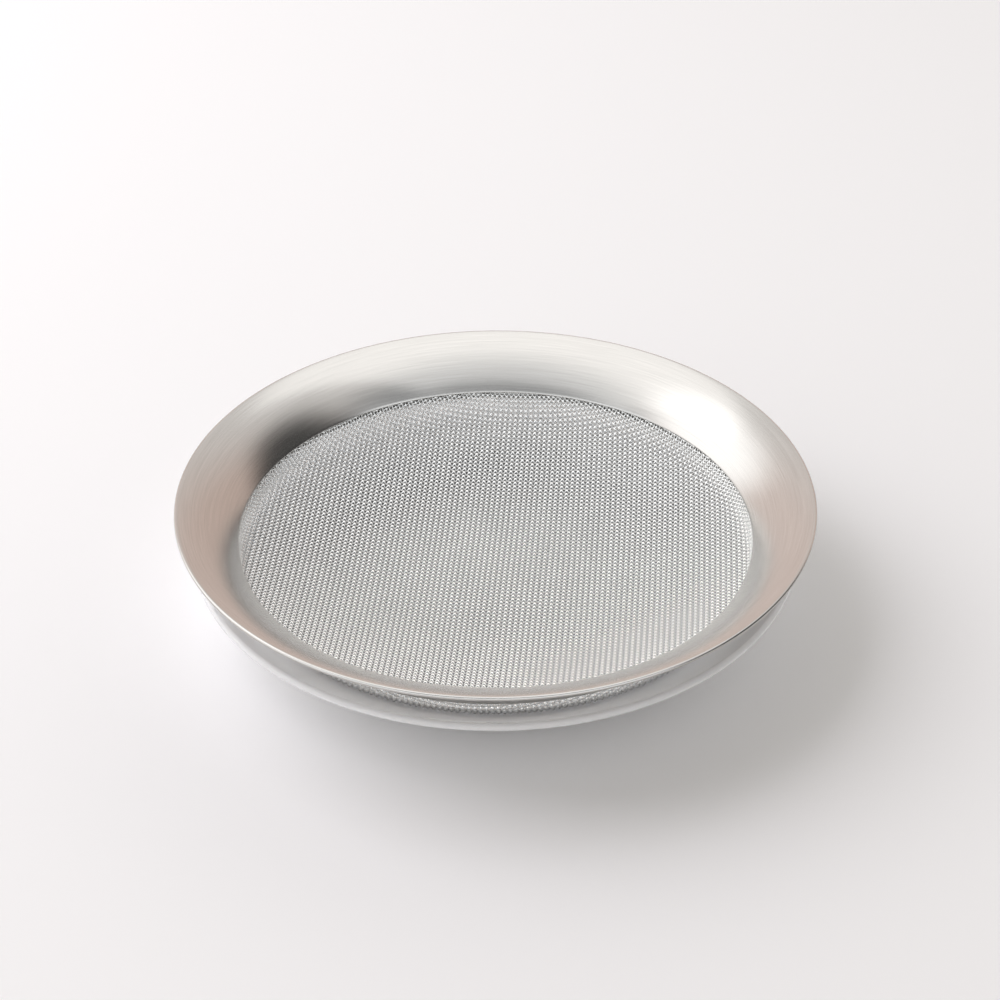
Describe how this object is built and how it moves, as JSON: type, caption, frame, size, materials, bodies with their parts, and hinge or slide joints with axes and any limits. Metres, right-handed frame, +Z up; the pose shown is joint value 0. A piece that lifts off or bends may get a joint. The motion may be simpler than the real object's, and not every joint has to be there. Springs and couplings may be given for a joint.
{
  "type": "shallow colander",
  "caption": "Shallow round colander: a wide curved steel rim, a woven wire bowl clamped under it, and a white drip tray that it lifts out of.",
  "frame": {"origin": "on the table, under the centre of the foot ring", "axes": "+Z up along the axis of the bowl; X and Y are level and the part is round about Z"},
  "size_m": [0.26, 0.26, 0.0512],
  "materials": {
    "pressed_steel": "finely brushed round the rim",
    "woven_wire": "drawn wire",
    "white_glaze": "smooth gloss"
  },
  "bodies": {
    "tray": {"drip_tray": "white_glaze"},
    "colander": {"rim_flange": "pressed_steel", "clamp_ring": "pressed_steel", "mesh_bowl": "woven_wire"}
  },
  "joints": [
    {"name": "lift_out", "type": "slide", "parent": "tray", "child": "colander", "axis": [0, 0, 1], "range_m": [0, 0.06]}
  ]
}
